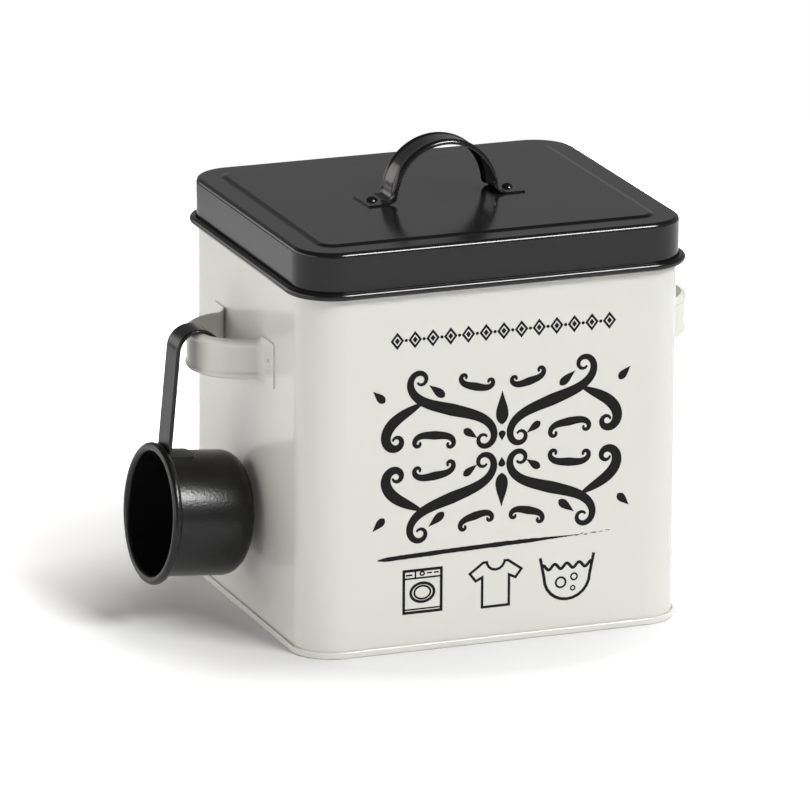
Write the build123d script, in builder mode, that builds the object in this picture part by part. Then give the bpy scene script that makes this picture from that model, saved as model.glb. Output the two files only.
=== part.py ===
"""A lidded sheet-steel tin for washing powder, with two side loops and a scoop hung on the left one."""

from build123d import *

import os
from math import acos, cos, degrees, pi, radians, sin, sqrt

# Sizes are in millimetres. The origin is the middle of the box on the surface that it stands on,
# with +X to the right, +Y to the back and +Z up.

# Box body: one sheet folded to a rounded rectangle
body_length = 197.6
body_width = 172.0
body_corner_radius = 19.6
rim_height = 203.6
sheet = 0.4
rim_curl_radius = 1.5
rim_curl_angle = 300.0

# Folded joint between the body wall and the base
seam_height = 3.5
seam_play = 0.1
base_recess = 3.9
base_bend_radius = 1.2
base_overlap = 8.0

# Locked side joint of the wall, on the back
side_joint_width = 6.0
side_joint_groove = 0.5
side_joint_groove_depth = 0.15
side_joint_gap = 0.3

# Lid: one pressed sheet
lid_play = 0.8
lid_seat_gap = 0.3
lid_sheet = 0.4
lid_depth = 23.1
lid_edge_radius = 2.3
bead_radius = 1.9
bead_angle = 315.0
panel_inset = 12.2
panel_rise = 0.9
panel_step_width = 2.4
panel_top_bend = 1.0
panel_foot_bend = 3.0
panel_flat_margin = 2.5

# Pressed strap handles: along the arch, the edges of the flat strip are beaded and turned in
strap = 0.8
handle_foot_bend = 4.0
handle_fade = 0.65
bead_rise = 0.55
bead_valley_radius = 2.4
bead_crest_radius = 1.8
edge_run = 0.3
lid_handle_size = {"length": 82.8, "height": 30.0, "foot": 13.2, "blank": 20.2, "rivet_inset": 5.4}
lid_handle_x = 0.7
lid_handle_y = -3.1
lid_handle_yaw = 1.2
loop_size = {"length": 84.2, "height": 29.6, "foot": 14.3, "blank": 22.3, "rivet_inset": 6.6}
left_loop_shift = 2.35
left_loop_height = 136.9
right_loop_reach = 31.0
right_loop_size = dict(loop_size, height=right_loop_reach)
right_loop_shift = -4.75
right_loop_height = 137.1

# Rivets through the handle feet
rivet_shank = 2.4
lid_rivet_head = 6.2
lid_rivet_head_height = 1.9
loop_rivet_head = 4.8
loop_rivet_head_height = 1.4
rivet_tail = 4.0
rivet_tail_height = 0.8
rivet_play = 0.05

# Scoop: a drawn cup with a curled mouth
cup_radius = 31.0
cup_depth = 44.2
cup_sheet = 0.5
cup_corner_radius = 9.5
cup_bead_radius = 2.3
cup_bead_angle = 300.0

# Scoop handle: a channel strap bent to a hook, with a foot on the cup
scoop_strap = 0.7
scoop_strap_width = 15.4
scoop_flange = 1.7
scoop_flange_radius = 1.2
scoop_foot_length = 14.2
scoop_foot_corner_radius = 2.0
scoop_gap = 0.1
scoop_foot_gap = 0.05
hook_reach = 83.4
hook_radius = 11.4
hook_turn = 122.0
hook_lip = 13.5
weld_diameter = 3.0
weld_depth = 0.2

# How the scoop hangs on the left loop
scoop_tilt = 5.3
scoop_yaw = 1.8
scoop_mouth_reach = 49.1
scoop_offset = -2.55
hook_seat_gap = 0.2

# Lid outline and heights that follow from the body
lid_length = body_length + 2 * (lid_play + lid_sheet)
lid_width = body_width + 2 * (lid_play + lid_sheet)
lid_corner_radius = body_corner_radius + lid_play + lid_sheet
lid_underside = rim_height + lid_seat_gap
panel_top = lid_underside + lid_sheet + panel_rise
bead_bottom = lid_underside + lid_sheet - lid_depth
rivet_hole = rivet_shank / 2 + rivet_play

# Where the middle of the scoop's mouth is, from the wall and the loop that it hangs on
scoop_mouth_x = -body_length / 2 - scoop_mouth_reach
scoop_shift = left_loop_shift + scoop_offset

# Where the three handles sit: x along the strap, z away from the sheet
lid_seat = Plane(
    origin=(lid_handle_x, lid_handle_y, panel_top),
    x_dir=Vector(1, 0, 0).rotate(Axis.Z, lid_handle_yaw),
    z_dir=(0, 0, 1),
)
left_seat = Plane(
    origin=(-body_length / 2, left_loop_shift, left_loop_height), x_dir=(0, 1, 0), z_dir=(-1, 0, 0)
)
right_seat = Plane(
    origin=(body_length / 2, right_loop_shift, right_loop_height), x_dir=(0, 1, 0), z_dir=(1, 0, 0)
)


def rivet_pitch(size):
    """The distance between a handle's two rivets."""
    return size["length"] - 2 * size["rivet_inset"]


def arch_radius(size):
    """The outer radius of a handle's arch, whose sides stand a foot's length in from the ends."""
    return size["length"] / 2 - size["foot"]


def rounded_loop(length, width, radius):
    """A rounded rectangle about the origin, as one closed line from the middle of its right side."""
    half = width / 2 - radius
    with BuildLine() as loop:
        side = Line((length / 2, 0), (length / 2, half))
        for run in (length - 2 * radius, 2 * half, length - 2 * radius):
            corner = JernArc(start=side @ 1, tangent=side % 1, radius=radius, arc_size=90)
            side = PolarLine(start=corner @ 1, length=run, direction=corner % 1)
        corner = JernArc(start=side @ 1, tangent=side % 1, radius=radius, arc_size=90)
        Line(corner @ 1, (length / 2, 0))
    return loop


def wall_section(length):
    """The upright plane through a wall's outer face on the right: x points outwards and y up."""
    return Plane(origin=(length / 2, 0, 0), x_dir=(1, 0, 0), z_dir=(0, -1, 0))


# Joint sizes that the body and the base share, out from the wall's outer face
hook_gap = sheet + 2 * seam_play
turn_radius = hook_gap / 2
base_turn_radius = turn_radius + sheet + seam_play
turn_height = base_turn_radius + sheet
seam_top_turn = seam_height - sheet - turn_radius
seam_out = turn_radius + base_turn_radius

# Body: hooked foot, upright wall and a rim curled inwards
with BuildPart() as body_shell:
    with BuildSketch(wall_section(body_length)):
        with BuildLine():
            hook = hook_gap + sheet / 2
            foot = Line((hook, seam_top_turn - seam_play), (hook, turn_height))
            turn = JernArc(
                start=foot @ 1, tangent=foot % 1, radius=turn_radius + sheet / 2, arc_size=-180
            )
            wall = Line(turn @ 1, (-sheet / 2, rim_height - rim_curl_radius))
            JernArc(
                start=wall @ 1,
                tangent=wall % 1,
                radius=rim_curl_radius - sheet / 2,
                arc_size=rim_curl_angle,
            )
        trace(line_width=sheet)
    sweep(path=rounded_loop(body_length, body_width, body_corner_radius).wire())

    # The side joint: folded layers inside the wall and a fine line outside
    joint_bottom = base_recess + side_joint_gap
    joint_top = rim_height - 2 * rim_curl_radius - side_joint_gap
    with BuildSketch(Plane.XY.offset(joint_bottom)):
        with Locations((0, body_width / 2 - sheet)):
            Rectangle(side_joint_width, 2 * sheet, align=(Align.CENTER, Align.MAX))
    extrude(amount=joint_top - joint_bottom)
    with BuildSketch(Plane.XY.offset(seam_height + sheet)):
        with Locations((side_joint_width / 2, body_width / 2)):
            Rectangle(side_joint_groove, 2 * side_joint_groove_depth)
    extrude(amount=joint_top - seam_height, mode=Mode.SUBTRACT)

    with Locations(left_seat, right_seat):
        with GridLocations(rivet_pitch(loop_size), 0, 2, 1):
            Hole(rivet_hole, depth=2 * sheet)

# Base: a recessed floor whose edge wraps the foot of the wall
with BuildPart() as base_panel:
    with BuildSketch(wall_section(body_length)):
        with BuildLine():
            inner = -(sheet + seam_play) - sheet / 2
            floor_level = base_recess - sheet / 2
            floor_edge = FilletPolyline(
                (-base_overlap, floor_level),
                (inner, floor_level),
                (inner, turn_height),
                radius=base_bend_radius,
            )
            under = JernArc(
                start=floor_edge @ 1,
                tangent=floor_edge % 1,
                radius=base_turn_radius + sheet / 2,
                arc_size=180,
            )
            skirt = Line(under @ 1, (seam_out + sheet / 2, seam_top_turn))
            over = JernArc(
                start=skirt @ 1, tangent=skirt % 1, radius=turn_radius + sheet / 2, arc_size=180
            )
            Line(over @ 1, (seam_play + sheet / 2, turn_height + sheet / 2))
        trace(line_width=sheet)
    sweep(path=rounded_loop(body_length, body_width, body_corner_radius).wire())
    floor_inset = base_overlap - sheet
    with BuildSketch(Plane.XY.offset(base_recess - sheet)):
        RectangleRounded(
            body_length - 2 * floor_inset, body_width - 2 * floor_inset, body_corner_radius - floor_inset
        )
    extrude(amount=sheet)

# Lid: raised panel, border, upright skirt and a bead curled outwards
with BuildPart() as lid_shell:
    panel_edge = panel_inset + panel_step_width
    panel_start = panel_edge + panel_flat_margin
    skirt_bottom = bead_bottom + bead_radius
    with BuildSketch(wall_section(lid_length)):
        with BuildLine():
            half_sheet = lid_sheet / 2
            border_level = lid_underside + half_sheet
            pressing = FilletPolyline(
                (-panel_start, border_level + panel_rise),
                (-panel_edge, border_level + panel_rise),
                (-panel_inset, border_level),
                (-half_sheet, border_level),
                (-half_sheet, skirt_bottom),
                radius=[panel_top_bend, panel_foot_bend, lid_edge_radius - half_sheet],
            )
            JernArc(
                start=pressing @ 1,
                tangent=pressing % 1,
                radius=bead_radius - half_sheet,
                arc_size=bead_angle,
            )
        trace(line_width=lid_sheet)
    sweep(path=rounded_loop(lid_length, lid_width, lid_corner_radius).wire())
    flat_inset = panel_start - lid_sheet
    with BuildSketch(Plane.XY.offset(lid_underside + panel_rise)):
        RectangleRounded(
            lid_length - 2 * flat_inset, lid_width - 2 * flat_inset, lid_corner_radius - flat_inset
        )
    extrude(amount=lid_sheet)
    with Locations(lid_seat):
        with GridLocations(rivet_pitch(lid_handle_size), 0, 2, 1):
            Hole(rivet_hole, depth=2 * lid_sheet)


def side_of(seat):
    """The plane that shows a handle from the side: x along the strap and y away from its seat."""
    return Plane(origin=seat.origin, x_dir=seat.x_dir, z_dir=-seat.y_dir)


def strip_face(blank, fullness, side):
    """Points (across, outward) along one face of a strip's cut, 1 for the front and -1 for the back.

    At a fullness of 1 the strip has a flat web, a raised bead along each edge and the edges turned
    in, and at 0 it is the flat blank. The origin is in the middle of the web and of its thickness.
    """
    slope = acos(1 - bead_rise / (bead_valley_radius + bead_crest_radius))
    valley_run = bead_valley_radius * slope
    crest_run = bead_crest_radius * (slope + pi / 2)
    runs = (
        (blank / 2 - valley_run - crest_run - edge_run, 0, 0, 2),
        (valley_run, 0, slope, 4),
        (crest_run, slope, -pi / 2, 10),
        (edge_run, -pi / 2, -pi / 2, 1),
    )
    lift = side * strap / 2
    across, outward = 0, 0
    half = [(0, lift)]
    for length, start_slope, end_slope, steps in runs:
        turn = fullness * (end_slope - start_slope) / steps
        for step in range(steps):
            chord = fullness * start_slope + turn * (step + 0.5)
            across += length / steps * cos(chord)
            outward += length / steps * sin(chord)
            slope_there = fullness * start_slope + turn * (step + 1)
            half.append((across - lift * sin(slope_there), outward + lift * cos(slope_there)))
    return [(-x, y) for x, y in reversed(half[1:])] + half


def strip_cut(plane, blank, fullness):
    """The cut through a strip, on a plane with x across the strip and y outwards."""
    with BuildSketch(plane) as cut:
        with BuildLine():
            front = Spline(strip_face(blank, fullness, 1))
            back = Spline(strip_face(blank, fullness, -1))
            Line(front @ 0, back @ 0)
            Line(front @ 1, back @ 1)
        make_face()
    return cut.sketch.face()


def pressed_handle(seat, size):
    """A strap bent to an arch on two flat feet, beaded along the arch."""
    side_view = side_of(seat)
    web_radius = arch_radius(size) - bead_rise - strap / 2
    arch_centre = size["height"] - arch_radius(size)
    foot_radius = handle_foot_bend + strap / 2
    turn = acos((strap / 2 + foot_radius - arch_centre) / (web_radius + foot_radius))
    reach = (web_radius + foot_radius) * sin(turn)
    fade_start = (1 - handle_fade) * turn

    # Half of the formed strip as (x, y, slope, fullness), from the fade in the foot bend to the top
    fade_steps = 6
    arch_steps = 10
    half = []
    for step in range(fade_steps):
        share = step / fade_steps
        slope = fade_start + share * (turn - fade_start)
        x = -reach + foot_radius * sin(slope)
        half.append((x, strap / 2 + foot_radius * (1 - cos(slope)), slope, share))
    for step in range(arch_steps + 1):
        slope = turn * (1 - step / arch_steps)
        half.append((-web_radius * sin(slope), arch_centre + web_radius * cos(slope), slope, 1))
    stations = half + [(-x, y, -slope, share) for x, y, slope, share in reversed(half[:-1])]

    cuts = []
    for x, y, slope, fullness in stations:
        point = side_view.from_local_coords((x, y, 0))
        along_strap = side_view.x_dir * cos(slope) + side_view.y_dir * sin(slope)
        plane = Plane(origin=point, x_dir=seat.y_dir, z_dir=along_strap)
        cuts.append(strip_cut(plane, size["blank"], fullness))

    with BuildPart() as handle:
        loft(sections=cuts)

        # Flat feet with the first part of their bends
        with BuildSketch(side_view):
            for side in (-1, 1):
                with BuildLine():
                    foot = Line((side * size["length"] / 2, strap / 2), (side * reach, strap / 2))
                    JernArc(
                        start=foot @ 1,
                        tangent=foot % 1,
                        radius=foot_radius,
                        arc_size=-side * degrees(fade_start),
                    )
                trace(line_width=strap)
        extrude(amount=size["blank"] / 2, both=True)

        with Locations(seat.offset(strap)):
            with GridLocations(rivet_pitch(size), 0, 2, 1):
                Hole(rivet_hole, depth=strap)
    return handle


def rivet_pair(seat, pitch, grip, head, head_height):
    """Two domed rivets through a handle's feet and the sheet below, with flat tails behind."""
    with BuildPart() as rivets:
        dome_radius = ((head / 2) ** 2 + head_height**2) / (2 * head_height)
        for side in (-1, 1):
            axis_plane = side_of(seat).move(Pos(X=side * pitch / 2))
            with BuildSketch(axis_plane):
                with BuildLine():
                    Polyline(
                        (0, strap + head_height),
                        (0, -grip - rivet_tail_height),
                        (rivet_tail / 2, -grip - rivet_tail_height),
                        (rivet_tail / 2, -grip),
                        (rivet_shank / 2, -grip),
                        (rivet_shank / 2, strap),
                        (head / 2, strap),
                    )
                    RadiusArc((head / 2, strap), (0, strap + head_height), -dome_radius)
                make_face()
            revolve(axis=Axis(axis_plane.origin, seat.z_dir))
    return rivets


lid_handle = pressed_handle(lid_seat, lid_handle_size)
left_loop = pressed_handle(left_seat, loop_size)
right_loop = pressed_handle(right_seat, right_loop_size)
lid_handle_rivets = rivet_pair(
    lid_seat, rivet_pitch(lid_handle_size), lid_sheet, lid_rivet_head, lid_rivet_head_height
)
left_loop_rivets = rivet_pair(
    left_seat, rivet_pitch(loop_size), sheet, loop_rivet_head, loop_rivet_head_height
)
right_loop_rivets = rivet_pair(
    right_seat, rivet_pitch(loop_size), sheet, loop_rivet_head, loop_rivet_head_height
)

# The scoop's own directions: along the cup from mouth to base, up the handle, and across
along = Vector(1, 0, 0).rotate(Axis.Y, scoop_tilt).rotate(Axis.Z, scoop_yaw)
up = Vector(0, 0, 1).rotate(Axis.Y, scoop_tilt).rotate(Axis.Z, scoop_yaw)
across = Vector(0, 1, 0).rotate(Axis.Z, scoop_yaw)

# The inner edges of the hook rest on the rounded top edge of the left loop's arch
strap_face = cup_bead_radius + scoop_gap
hook_inner_radius = hook_radius - scoop_flange
hook_centre_along = strap_face + hook_radius
hook_centre_x = scoop_mouth_x + along.X * hook_centre_along + up.X * hook_reach
crest_outer_radius = bead_crest_radius + strap / 2
loop_half_width = max(x for x, _ in strip_face(loop_size["blank"], 1, 1))
loop_radius = arch_radius(loop_size)
loop_centre_x = -body_length / 2 - (loop_size["height"] - loop_radius)
front_flange_y = scoop_shift - scoop_strap_width / 2 - left_loop_shift
crest_x = loop_centre_x - sqrt((loop_radius - crest_outer_radius) ** 2 - front_flange_y**2)
crest_z = left_loop_height + loop_half_width - crest_outer_radius
seat_distance = hook_inner_radius - crest_outer_radius - hook_seat_gap
hook_centre_z = crest_z - sqrt(seat_distance**2 - (crest_x - hook_centre_x) ** 2)
scoop_mouth_z = hook_centre_z - along.Z * hook_centre_along - up.Z * hook_reach

mouth = Vector(scoop_mouth_x, scoop_shift, scoop_mouth_z)
scoop_side = Plane(origin=mouth, x_dir=along, z_dir=-across)
scoop_mouth = Plane(origin=mouth, x_dir=across, z_dir=along)
scoop_top = Plane(origin=mouth, x_dir=along, z_dir=up)

# Cup: drawn from one disc, with its edge curled outwards round the mouth
with BuildPart() as scoop_cup:
    half_cup_sheet = cup_sheet / 2
    with BuildSketch(scoop_side):
        with BuildLine():
            drawn = FilletPolyline(
                (cup_depth - half_cup_sheet, 0),
                (cup_depth - half_cup_sheet, cup_radius - half_cup_sheet),
                (0, cup_radius - half_cup_sheet),
                radius=cup_corner_radius - half_cup_sheet,
            )
            JernArc(
                start=drawn @ 1,
                tangent=drawn % 1,
                radius=cup_bead_radius - half_cup_sheet,
                arc_size=-cup_bead_angle,
            )
        trace(line_width=cup_sheet)
    revolve(axis=Axis(mouth, along))

# Scoop handle: foot curved to the cup, channel strap, hook and lip
with BuildPart() as scoop_handle:
    welded_radius = cup_radius + scoop_foot_gap
    with BuildSketch(scoop_mouth):
        Circle(welded_radius + scoop_strap)
        Circle(welded_radius, mode=Mode.SUBTRACT)
    extrude(amount=strap_face + scoop_foot_length)
    with BuildSketch(scoop_top):
        with Locations((strap_face, 0)):
            Rectangle(scoop_foot_length, scoop_strap_width, align=(Align.MIN, Align.CENTER))
        fillet(vertices().group_by(Axis.X)[-1], radius=scoop_foot_corner_radius)
    extrude(amount=cup_radius + 2 * scoop_strap, mode=Mode.INTERSECT)

    strap_foot = cup_radius - scoop_flange
    with BuildLine(scoop_side) as hook_line:
        leg = Line((strap_face, strap_foot), (strap_face, hook_reach))
        bend = JernArc(start=leg @ 1, tangent=(0, 1), radius=hook_radius, arc_size=-hook_turn)
        PolarLine(start=bend @ 1, length=hook_lip, angle=90 - hook_turn)
    with BuildSketch(Plane(origin=leg @ 0, x_dir=across, z_dir=up)):
        channel_bottom = -scoop_flange
        with Locations((0, channel_bottom / 2)):
            Rectangle(scoop_strap_width, scoop_flange)
        fillet(vertices().group_by(Axis.Y)[-1], radius=scoop_flange_radius)
        with Locations((0, channel_bottom)):
            Rectangle(
                scoop_strap_width - 2 * scoop_strap,
                scoop_flange - scoop_strap,
                align=(Align.CENTER, Align.MIN),
                mode=Mode.SUBTRACT,
            )
    sweep(path=hook_line.wire())

    # Seated on the cup, with two spot welds pressed in the foot
    with BuildSketch(scoop_mouth):
        Circle(welded_radius)
    extrude(amount=strap_face + scoop_foot_length, mode=Mode.SUBTRACT)
    with BuildSketch(scoop_top.offset(welded_radius + scoop_strap - weld_depth)):
        with Locations((strap_face + scoop_foot_length / 2, 0)):
            with GridLocations(0, scoop_strap_width / 2, 1, 2):
                Circle(weld_diameter / 2)
    extrude(amount=weld_depth + scoop_strap, mode=Mode.SUBTRACT)

pieces = {
    "body_shell": body_shell,
    "base_panel": base_panel,
    "left_loop": left_loop,
    "right_loop": right_loop,
    "left_loop_rivets": left_loop_rivets,
    "right_loop_rivets": right_loop_rivets,
    "lid_shell": lid_shell,
    "lid_handle": lid_handle,
    "lid_handle_rivets": lid_handle_rivets,
    "scoop_cup": scoop_cup,
    "scoop_handle": scoop_handle,
}

os.makedirs("parts", exist_ok=True)
for name, piece in pieces.items():
    piece.part.label = name
    export_step(piece.part, f"parts/{name}.step")
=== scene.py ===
"""The finish, the print and the studio for a lidded tin of washing powder with a hooked scoop."""

import math
import random

import bmesh
import bpy
from mathutils import Matrix, Vector


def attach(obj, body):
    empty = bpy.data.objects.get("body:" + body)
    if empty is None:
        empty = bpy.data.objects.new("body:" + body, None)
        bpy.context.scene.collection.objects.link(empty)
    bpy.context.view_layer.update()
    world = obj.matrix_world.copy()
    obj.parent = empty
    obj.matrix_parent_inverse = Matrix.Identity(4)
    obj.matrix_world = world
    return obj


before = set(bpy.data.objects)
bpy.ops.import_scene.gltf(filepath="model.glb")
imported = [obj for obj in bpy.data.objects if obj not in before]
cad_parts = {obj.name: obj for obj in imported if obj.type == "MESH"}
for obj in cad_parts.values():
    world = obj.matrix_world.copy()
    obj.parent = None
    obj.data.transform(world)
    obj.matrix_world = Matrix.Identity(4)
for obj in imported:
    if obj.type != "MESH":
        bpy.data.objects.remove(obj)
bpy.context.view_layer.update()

# Box body: one folded sheet of thin steel with a locked seam at the back, closed below by a base
# panel that is rolled round its foot. Both are coated with warm white enamel, fired on before the
# print. The two side loops are pressed strap, riveted on and coated with the body.


class Wire:
    """An output in a material's node tree. Operators add Math nodes, and node adds any other."""

    def __init__(self, tree, socket=None):
        self.tree = tree
        self.socket = socket

    def node(self, kind, settings=None, values=None, output=0):
        new = self.tree.nodes.new(kind)
        for name, value in (settings or {}).items():
            setattr(new, name, value)
        for name, value in (values or {}).items():
            if isinstance(value, Wire):
                self.tree.links.new(value.socket, new.inputs[name])
            else:
                new.inputs[name].default_value = value
        return Wire(self.tree, new.outputs[output] if new.outputs else None)

    def math(self, operation, first, second):
        return self.node("ShaderNodeMath", {"operation": operation}, {0: first, 1: second})

    def __add__(self, other):
        return self.math("ADD", self, other)

    def __mul__(self, other):
        return self.math("MULTIPLY", self, other)

    def __rsub__(self, other):
        return self.math("SUBTRACT", other, self)

    __radd__ = __add__
    __rmul__ = __mul__


def enamel(name, colour, roughness, ripple, peel, reflection=0.5):
    """A fired coat of paint. Ripple and peel are (wave length, height) in metres."""
    material = bpy.data.materials.new(name)
    material.use_nodes = True
    material.node_tree.nodes.clear()
    tree = Wire(material.node_tree)
    place = tree.node("ShaderNodeTexCoord", output="Object")
    relief = None
    for length, height in (ripple, peel):
        waves = tree.node(
            "ShaderNodeTexNoise", values={"Vector": place, "Scale": 1 / length, "Detail": 2.0}
        )
        layer = waves * height
        relief = layer if relief is None else relief + layer
    normal = tree.node(
        "ShaderNodeBump", values={"Height": relief, "Strength": 1.0, "Distance": 1.0}
    )
    look = {"Base Color": (*colour, 1), "Roughness": roughness, "Specular IOR Level": reflection}
    paint = tree.node("ShaderNodeBsdfPrincipled", values={**look, "Normal": normal})
    tree.node("ShaderNodeOutputMaterial", values={"Surface": paint})
    return material


def coat(nodes, material):
    """Puts a material on CAD nodes in place of the ones that they came with."""
    for name in nodes:
        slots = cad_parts[name].data.materials
        slots.clear()
        slots.append(material)


body_enamel = enamel(
    "body_enamel",
    colour=(0.70, 0.70, 0.655),
    roughness=0.2,
    ripple=(0.06, 4e-5),
    peel=(0.0022, 1.2e-6),
)
loops = ["left_loop", "right_loop", "left_loop_rivets", "right_loop_rivets"]
coat(["body_shell", "base_panel"] + loops, body_enamel)

# Print: a band of lozenges, two rows of pen scrolls, a brushed rule and three pictograms, screen
# printed on the front wall in black enamel and fired with the coat. Its drawings are in
# millimetres, from the middle of the tin's foot.

millimetre = 0.001
wall_y = -0.0860
ink_lift = 0.00001
ink_height = 0.00003
print_black = enamel(
    "print_black",
    colour=(0.006, 0.006, 0.0056),
    roughness=0.35,
    ripple=(0.06, 4e-5),
    peel=(0.0022, 1.2e-6),
    reflection=0.14,
)


def lay_print(name, flat):
    """Gives ink height to a flat drawing, x to the right and y up, and lays it on the front."""
    bmesh.ops.reverse_faces(flat, faces=[face for face in flat.faces if face.normal.z < 0])
    bmesh.ops.scale(flat, vec=(millimetre, millimetre, millimetre), verts=flat.verts)
    bmesh.ops.solidify(flat, geom=flat.faces[:], thickness=ink_height)
    lowest = min(vertex.co.z for vertex in flat.verts)
    upright = Matrix.Rotation(math.radians(90), 4, "X")
    bmesh.ops.translate(flat, vec=(0, 0, ink_lift - lowest), verts=flat.verts)
    bmesh.ops.transform(flat, matrix=Matrix.Translation((0, wall_y, 0)) @ upright, verts=flat.verts)
    bmesh.ops.recalc_face_normals(flat, faces=flat.faces)
    for face in flat.faces:
        face.smooth = False
    data = bpy.data.meshes.new(name)
    flat.to_mesh(data)
    flat.free()
    data.materials.append(print_black)
    piece = bpy.data.objects.new(name, data)
    bpy.context.scene.collection.objects.link(piece)
    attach(piece, "tin")


# Each stroke lies a little over the one before it, so that no two faces share a plane
overlap_lift = 0.004


def inked(strokes):
    """A flat drawing of pen strokes, each a list of (x, y, width)."""
    nib = bpy.data.curves.new("nib", "CURVE")
    edge = nib.splines.new("POLY")
    edge.points.add(1)
    edge.points[0].co = (-0.5, 0, 0, 1)
    edge.points[1].co = (0.5, 0, 0, 1)
    nib_holder = bpy.data.objects.new("nib", nib)
    ink = bpy.data.curves.new("ink", "CURVE")
    ink.dimensions = "3D"
    ink.twist_mode = "Z_UP"
    ink.bevel_mode = "OBJECT"
    ink.bevel_object = nib_holder
    for order, stroke in enumerate(strokes):
        line = ink.splines.new("POLY")
        line.points.add(len(stroke) - 1)
        for point, (x, y, width) in zip(line.points, stroke):
            point.co = (x, y, order * overlap_lift, 1)
            point.radius = width
    ink_holder = bpy.data.objects.new("ink", ink)
    bpy.context.scene.collection.objects.link(nib_holder)
    bpy.context.scene.collection.objects.link(ink_holder)
    drawn = ink_holder.evaluated_get(bpy.context.evaluated_depsgraph_get())
    mesh = bpy.data.meshes.new_from_object(drawn)
    flat = bmesh.new()
    flat.from_mesh(mesh)
    flat.normal_update()
    bpy.data.objects.remove(ink_holder)
    bpy.data.objects.remove(nib_holder)
    bpy.data.curves.remove(ink)
    bpy.data.curves.remove(nib)
    bpy.data.meshes.remove(mesh)
    return flat


hairline = 1.1


def curling_path(start, heading, length, curl, steps):
    """Points (x, y, how far along) of a path that sets off straight and curls ever tighter."""
    tightening = 2.2
    x, y = start
    path = []
    for step in range(steps + 1):
        along = step / steps
        path.append((x, y, along))
        heading += math.radians(curl) * (tightening + 1) * along**tightening / steps
        x += length / steps * math.cos(heading)
        y += length / steps * math.sin(heading)
    return path


def scroll(middle, tilt, length, curl, thick, mirrored_ends=False):
    """A stroke whose ends curl to opposite sides or, with mirrored ends, to the same one."""
    arms = []
    for direction in (-1, 1):
        heading = math.radians(tilt if direction > 0 else tilt + 180)
        bend = -direction if mirrored_ends else 1
        path = curling_path(middle, heading, length / 2, bend * curl, steps=36)
        swell = thick - hairline
        arms.append([(x, y, hairline + swell * (1 - along) ** 0.8) for x, y, along in path])
    back, forth = arms
    return back[:0:-1] + forth


def branch(start, heading, length, curl, thick):
    """A stroke that leaves another one and curls up at its far end."""
    path = curling_path(start, math.radians(heading), length, curl, steps=44)
    swell = thick - hairline
    return [(x, y, hairline + swell * math.sin(math.pi * along**0.75)) for x, y, along in path]


def drop(tail, head, thick):
    """A teardrop stroke, pointed at its head."""
    steps = 14
    tip = 0.3
    stroke = []
    for step in range(steps + 1):
        along = step / steps
        x = tail[0] + (head[0] - tail[0]) * along
        y = tail[1] + (head[1] - tail[1]) * along
        stroke.append((x, y, tip + thick * math.sin(math.pi * along**0.6) ** 1.2))
    return stroke


def scroll_row(centre_x, centre_y, up):
    """A row of scrolls and drops, the same to the left and right of an upright drop."""
    side = [
        scroll((26, up), 17 * up, 96, 410 * up, 6.2),
        branch((42, 5.6 * up), -26 * up, 46, -420 * up, 5.6),
        scroll((35, -11 * up), 6 * up, 36, 330 * up, 4.4, mirrored_ends=True),
        scroll((14, 11.5 * up), 14 * up, 30, -330 * up, 4.2, mirrored_ends=True),
        drop((30, 8 * up), (38, 14.5 * up), 4.0),
        drop((61, 8 * up), (67, 14 * up), 3.8),
        drop((20, -9.5 * up), (13, -14.5 * up), 3.6),
    ]
    middle = [drop((0, -9 * up), (0, 8 * up), 6.2), drop((0, -12 * up), (0, -17 * up), 3.4)]
    row = side + [[(-x, y, width) for x, y, width in stroke] for stroke in side] + middle
    return [[(centre_x + x, centre_y + y, width) for x, y, width in stroke] for stroke in row]


def outline(flat, corners, width):
    """Adds a closed line of even width inside a polygon."""
    face = flat.faces.new([flat.verts.new((x, y, 0)) for x, y in corners])
    flat.normal_update()
    bmesh.ops.inset_region(
        flat, faces=[face], thickness=width, use_boundary=True, use_even_offset=True
    )
    bmesh.ops.delete(flat, geom=[face], context="FACES")


def patch(flat, corners):
    """Adds a solid polygon."""
    flat.faces.new([flat.verts.new((x, y, 0)) for x, y in corners])


def ellipse(centre_x, centre_y, radius_x, radius_y, count=40):
    """Corners of an ellipse, anticlockwise."""
    angles = [2 * math.pi * step / count for step in range(count)]
    return [
        (centre_x + radius_x * math.cos(angle), centre_y + radius_y * math.sin(angle))
        for angle in angles
    ]


def block(left, low, right, high):
    """Corners of an upright rectangle, anticlockwise."""
    return [(left, low), (right, low), (right, high), (left, high)]


def lozenge(centre_x, centre_y, reach_x, reach_y):
    """Corners of a lozenge, anticlockwise."""
    return [
        (centre_x, centre_y - reach_y),
        (centre_x + reach_x, centre_y),
        (centre_x, centre_y + reach_y),
        (centre_x - reach_x, centre_y),
    ]


band_centre_x = 2.3
band_y = 157.7
band_pitch = 9.2
band_reach = 6
lozenge_line = 1.15
dot_radius = 0.85
band = bmesh.new()
for count in range(-band_reach, band_reach + 1):
    x = band_centre_x + count * band_pitch
    outline(band, lozenge(x, band_y, 3.5, 4.4), lozenge_line)
    patch(band, lozenge(x, band_y, 1.35, 1.7))
    if count < band_reach:
        patch(band, ellipse(x + band_pitch / 2, band_y, dot_radius, dot_radius, count=14))
band.normal_update()
lay_print("lozenge_band", band)

scrolls_x = 1.8
lay_print("upper_scrolls", inked(scroll_row(scrolls_x, 119.5, up=1)))
lay_print("lower_scrolls", inked(scroll_row(scrolls_x, 77.0, up=-1)))

# The rule is three strokes of a dry brush, which fade to dabs of ink at its right end
random.seed(11)
rule_left = -62.6
rule_length = 123.1
rule_level = 47.9
rule_slope = 0.034
rule_sag = 0.35


def rule_point(along):
    """The middle of the rule, so far along from its left end."""
    x = rule_left + rule_length * along
    return x, rule_level + rule_slope * (x - rule_left) * (1 - rule_sag * along)


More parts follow.
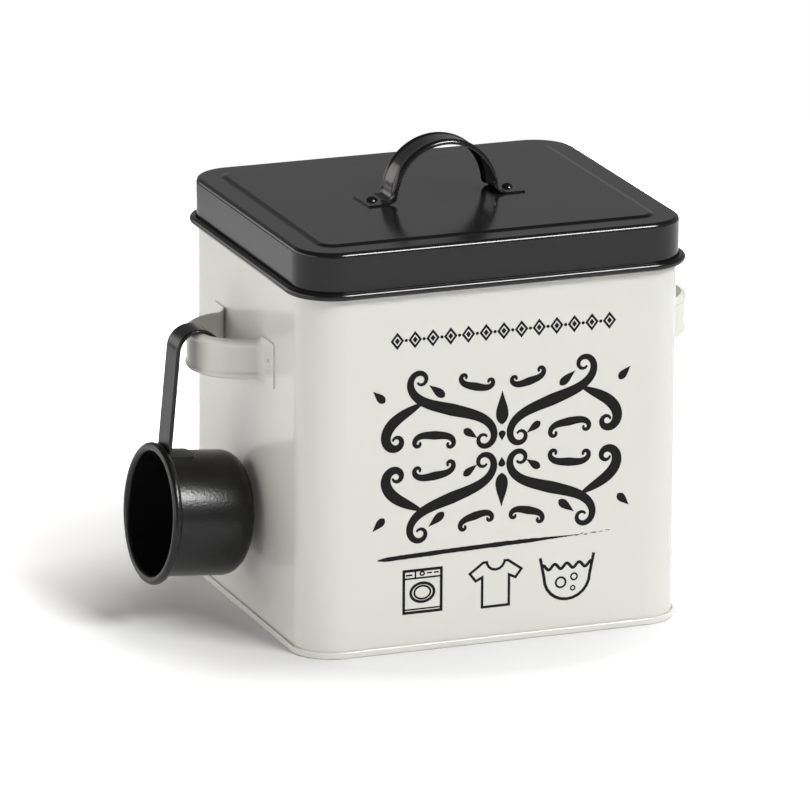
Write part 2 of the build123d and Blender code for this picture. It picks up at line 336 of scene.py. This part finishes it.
rule_strokes = []
rule_steps = 60
bristles = ((0.0, 0.0, 0.82, 2.1), (0.65, 0.01, 0.75, 1.0), (-0.6, 0.005, 0.87, 0.9))
for offset, start, end, width in bristles:
    stroke = []
    for step in range(rule_steps + 1):
        x, level = rule_point(start + (end - start) * step / rule_steps)
        taper = min(1.0, (step + 1) / 4, (rule_steps - step) / 16)
        rough = random.uniform(0.8, 1.15)
        stroke.append((x, level + offset * taper, 0.15 + width * taper * rough))
    rule_strokes.append(stroke)
dabs = 16
fading_from = 0.66
for dab in range(dabs):
    along = fading_from + (1 - fading_from) * dab / dabs + random.uniform(0, 0.012)
    x, level = rule_point(along)
    level += random.uniform(-0.5, 0.5)
    length = random.uniform(1.0, 3.2)
    width = random.uniform(0.4, 1.1) * (1.25 - along)
    ends = (x, level, 0.15), (x + length, level, 0.1)
    rule_strokes.append([ends[0], (x + length / 2, level, 0.2 + width), ends[1]])
lay_print("brushed_rule", inked(rule_strokes))

# A washing machine: case, panel, plinth, drawer, two marks, dial and door
washer = bmesh.new()
case_line = 1.45
outline(washer, block(-49.6, 18.9, -28.6, 41.7), case_line)
for bar in (
    (-48.8, 36.5, -29.4, 37.4),
    (-48.8, 20.8, -29.4, 21.6),
    (-43.3, 37.4, -42.4, 40.7),
    (-47.8, 38.3, -44.4, 39.2),
    (-36.8, 38.7, -34.2, 39.5),
    (-33.2, 38.7, -30.7, 39.5),
):
    patch(washer, block(*bar))
outline(washer, ellipse(-39.3, 39.1, 1.5, 1.3, count=20), 0.8)
door = (-39.2, 29.5)
outline(washer, ellipse(*door, 6.8, 5.5), case_line)
outline(washer, ellipse(*door, 4.7, 3.8), 1.0)
washer.normal_update()
lay_print("washer_pictogram", washer)

# A shirt, the same on both sides of its middle, from its collar to its hem
shirt_x = -0.9
shirt_line = 1.35
collar_radius = 4.1
collar_level = 41.8
collar_steps = 8
collar = []
for step in range(1, collar_steps):
    angle = math.pi * step / collar_steps
    across = -collar_radius * math.cos(angle)
    collar.append((across, collar_level - collar_radius * math.sin(angle)))
right_side = [
    (collar_radius, collar_level),
    (6.7, collar_level),
    (14.5, 36.2),
    (10.6, 31.2),
    (7.7, 32.6),
    (7.7, 17.7),
]
left_side = [(-x, y) for x, y in reversed(right_side)]
shirt = bmesh.new()
round_shirt = collar + right_side + left_side
outline(shirt, [(x + shirt_x, y) for x, y in reversed(round_shirt)], shirt_line)
shirt.normal_update()
lay_print("shirt_pictogram", shirt)

# A round basin with water and three bubbles
basin_x = 36.6
basin_line = 1.6
bowl_level = 29.7
bowl_reach = 12.0
bowl_depth = 11.8
bowl_steps = 12
bowl = []
for step in range(bowl_steps + 1):
    angle = math.pi + math.pi * step / bowl_steps
    x = basin_x + bowl_reach * math.cos(angle)
    bowl.append((x, bowl_level + bowl_depth * math.sin(angle), basin_line))
rim_reach = 14.1
rim_level = 40.2
rim_left = (basin_x - rim_reach, rim_level, basin_line)
rim_right = (basin_x + rim_reach, rim_level, basin_line)
water_reach = 12.8
water_level = 35.0
wave_height = 1.3
wave_count = 4
wave_steps = 48
water = []
for step in range(wave_steps + 1):
    along = step / wave_steps
    height = water_level + wave_height * math.cos(2 * math.pi * wave_count * along)
    water.append((basin_x - water_reach + 2 * water_reach * along, height, basin_line))
bubbles = bmesh.new()
for shift, level, radius, ring_line, count in (
    (-3.2, 26.7, 3.1, 1.05, 28),
    (3.8, 29.0, 2.1, 0.9, 24),
    (3.2, 23.2, 1.5, 0.75, 20),
):
    outline(bubbles, ellipse(basin_x + shift, level, radius, radius, count), ring_line)
bubbles.normal_update()


def joined(flats):
    """Several flat drawings as one."""
    whole = bmesh.new()
    for flat in flats:
        part = bpy.data.meshes.new("part")
        flat.to_mesh(part)
        flat.free()
        whole.from_mesh(part)
        bpy.data.meshes.remove(part)
    whole.normal_update()
    return whole


basin_strokes = [[rim_left] + bowl + [rim_right], water]
lay_print("basin_pictogram", joined([inked(basin_strokes), bubbles]))

# Lid: pressed from one sheet, with a raised panel, an upright skirt and a bead curled outwards.
# It is coated inside and out with black enamel, and its strap handle, riveted on before coating,
# is coated with it.
lid_enamel = enamel(
    "lid_enamel",
    colour=(0.009, 0.0088, 0.0088),
    roughness=0.16,
    ripple=(0.05, 5e-5),
    peel=(0.0016, 1.0e-6),
    reflection=0.36,
)
coat(["lid_shell", "lid_handle", "lid_handle_rivets"], lid_enamel)

# Scoop: a drawn cup with its mouth curled outwards, spot-welded to a channel strap whose hook hangs
# on the left loop. It is coated with the same black enamel, laid on thicker, so that it flows into
# an orange-peel surface.
scoop_enamel = enamel(
    "scoop_enamel",
    colour=(0.008, 0.0076, 0.0077),
    roughness=0.28,
    ripple=(0.02, 2e-5),
    peel=(0.0014, 9e-5),
    reflection=0.35,
)
coat(["scoop_cup", "scoop_handle"], scoop_enamel)

# Studio: a white table under an even white surround. A large softbox in front and above lights the
# object, and a stronger twin in the same place gives only its reflections. A second softbox hangs
# above to the right, and a long low panel with a warm tint stands behind to the left.


def softbox(name, place, aim, width, height, watts, tint=(1, 1, 1)):
    """A rectangular lamp that faces a point."""
    lamp = bpy.data.lights.new(name, "AREA")
    lamp.shape = "RECTANGLE"
    lamp.size = width
    lamp.size_y = height
    lamp.energy = watts
    lamp.color = tint
    holder = bpy.data.objects.new(name, lamp)
    holder.location = place
    holder.rotation_euler = (Vector(aim) - Vector(place)).to_track_quat("-Z", "Y").to_euler()
    bpy.context.scene.collection.objects.link(holder)
    return holder


tin_foot = (0, 0, 0)
tin_middle = (0, 0, 0.1)
front_place = (1.42, -2.63, 2.73)
front_lamp = softbox("front_softbox", front_place, tin_middle, width=1.6, height=1.1, watts=110)
front_lamp.visible_glossy = False
glint_place = (1.38, -2.56, 2.66)
glint_lamp = softbox("glint_softbox", glint_place, tin_middle, width=1.56, height=1.07, watts=230)
glint_lamp.visible_diffuse = False
top_place = (0.9, 0.3, 2.3)
top_lamp = softbox("top_softbox", top_place, tin_foot, width=1.2, height=1.2, watts=28)
top_lamp.visible_glossy = False
left_place = (-1.9, 0.6, 0.55)
left_aim = (0, 0, 0.2)
warm = (1, 0.97, 0.955)
softbox("left_panel", left_place, left_aim, width=4.4, height=0.9, watts=27, tint=warm)

scene = bpy.context.scene
scene.view_settings.view_transform = "Standard"
world = bpy.data.worlds.new("surround")
world.use_nodes = True
world.node_tree.nodes.clear()
surround = Wire(world.node_tree)
seen = surround.node("ShaderNodeLightPath", output="Is Camera Ray")
mirrored = surround.node("ShaderNodeLightPath", output="Is Glossy Ray")

# Enamel mirrors a surround that is dimmer overhead, which keeps the lid's edges dark and crisp
direction = surround.node("ShaderNodeTexCoord", output="Generated")
rise = surround.node("ShaderNodeSeparateXYZ", values={0: direction}, output="Z")
dimming = surround.node(
    "ShaderNodeMapRange",
    values={"Value": rise, "From Min": 0.3, "From Max": 0.65, "To Min": 1.0, "To Max": 0.1},
)
surround_light = 0.17
mirrored_light = 0.3
surround_strength = (
    seen * (1 - surround_light)
    + (1 - mirrored) * surround_light
    + mirrored * dimming * mirrored_light
)
sky = surround.node(
    "ShaderNodeBackground", values={"Color": (1, 1, 1, 1), "Strength": surround_strength}
)
surround.node("ShaderNodeOutputWorld", values={"Surface": sky})
scene.world = world

table_half = 3.0
table_back = 0.8
table_mesh = bmesh.new()
bmesh.ops.create_grid(table_mesh, x_segments=1, y_segments=1, size=table_half)
bmesh.ops.translate(table_mesh, vec=(0, table_back - table_half, 0), verts=table_mesh.verts)
table_data = bpy.data.meshes.new("table")
table_mesh.to_mesh(table_data)
table_mesh.free()
table = bpy.data.objects.new("table", table_data)
scene.collection.objects.link(table)
table_paper = bpy.data.materials.new("table_paper")
table_paper.use_nodes = True
table_paper.node_tree.nodes.clear()
paper = Wire(table_paper.node_tree)
paper_seen = paper.node("ShaderNodeLightPath", output="Is Camera Ray")
paper_mirrored = paper.node("ShaderNodeLightPath", output="Is Glossy Ray")
paper_white = 0.9
paper_glow = 0.15

# The camera sees the table's colour painted darker close to the tin, a painted shade that deepens
# its shadow there, and whitened outwards, which paints the shadows out so that it ends in plain
# white
paper_place = paper.node("ShaderNodeTexCoord", output="Object")
from_middle = paper.node(
    "ShaderNodeVectorMath", {"operation": "LENGTH"}, {0: paper_place}, output="Value"
)
painted_shade_and_whitening = paper.node(
    "ShaderNodeMapRange",
    values={
        "Value": from_middle,
        "From Min": 0.13,
        "From Max": 0.32,
        "To Min": -0.06,
        "To Max": 1.2,
    },
)
# Camera rays see the paper with that painted shade near the tin and the painted whitening farther
# out
matt = paper.node("ShaderNodeBsdfDiffuse", values={"Color": paper_seen * painted_shade_and_whitening + paper_white})
glow = paper.node(
    "ShaderNodeEmission",
    values={"Color": (1, 1, 1, 1), "Strength": paper_mirrored * paper_glow},
)
both = paper.node("ShaderNodeAddShader", values={0: matt, 1: glow})
paper.node("ShaderNodeOutputMaterial", values={"Surface": both})
table_data.materials.append(table_paper)

# Camera: a long lens from the front left, a little above the lid.
camera_place = Vector((-1.46614, -3.76032, 1.28055))
camera_azimuth = math.radians(-21.094)
camera_elevation = math.radians(16.348)
camera_roll = math.radians(0.327)
camera_data = bpy.data.cameras.new("camera")
camera_data.sensor_width = 36.0
camera_data.lens = 377.78
camera_data.clip_end = 50.0
camera = bpy.data.objects.new("camera", camera_data)
level = Vector((math.cos(camera_azimuth), math.sin(camera_azimuth), 0))
backward = Vector(
    (
        math.sin(camera_azimuth) * math.cos(camera_elevation),
        -math.cos(camera_azimuth) * math.cos(camera_elevation),
        math.sin(camera_elevation),
    )
)
upward = backward.cross(level)
right_axis = math.cos(camera_roll) * level + math.sin(camera_roll) * upward
up_axis = math.cos(camera_roll) * upward - math.sin(camera_roll) * level
turned = Matrix((right_axis, up_axis, backward)).transposed().to_4x4()
camera.matrix_world = Matrix.Translation(camera_place) @ turned
scene.collection.objects.link(camera)
scene.camera = camera
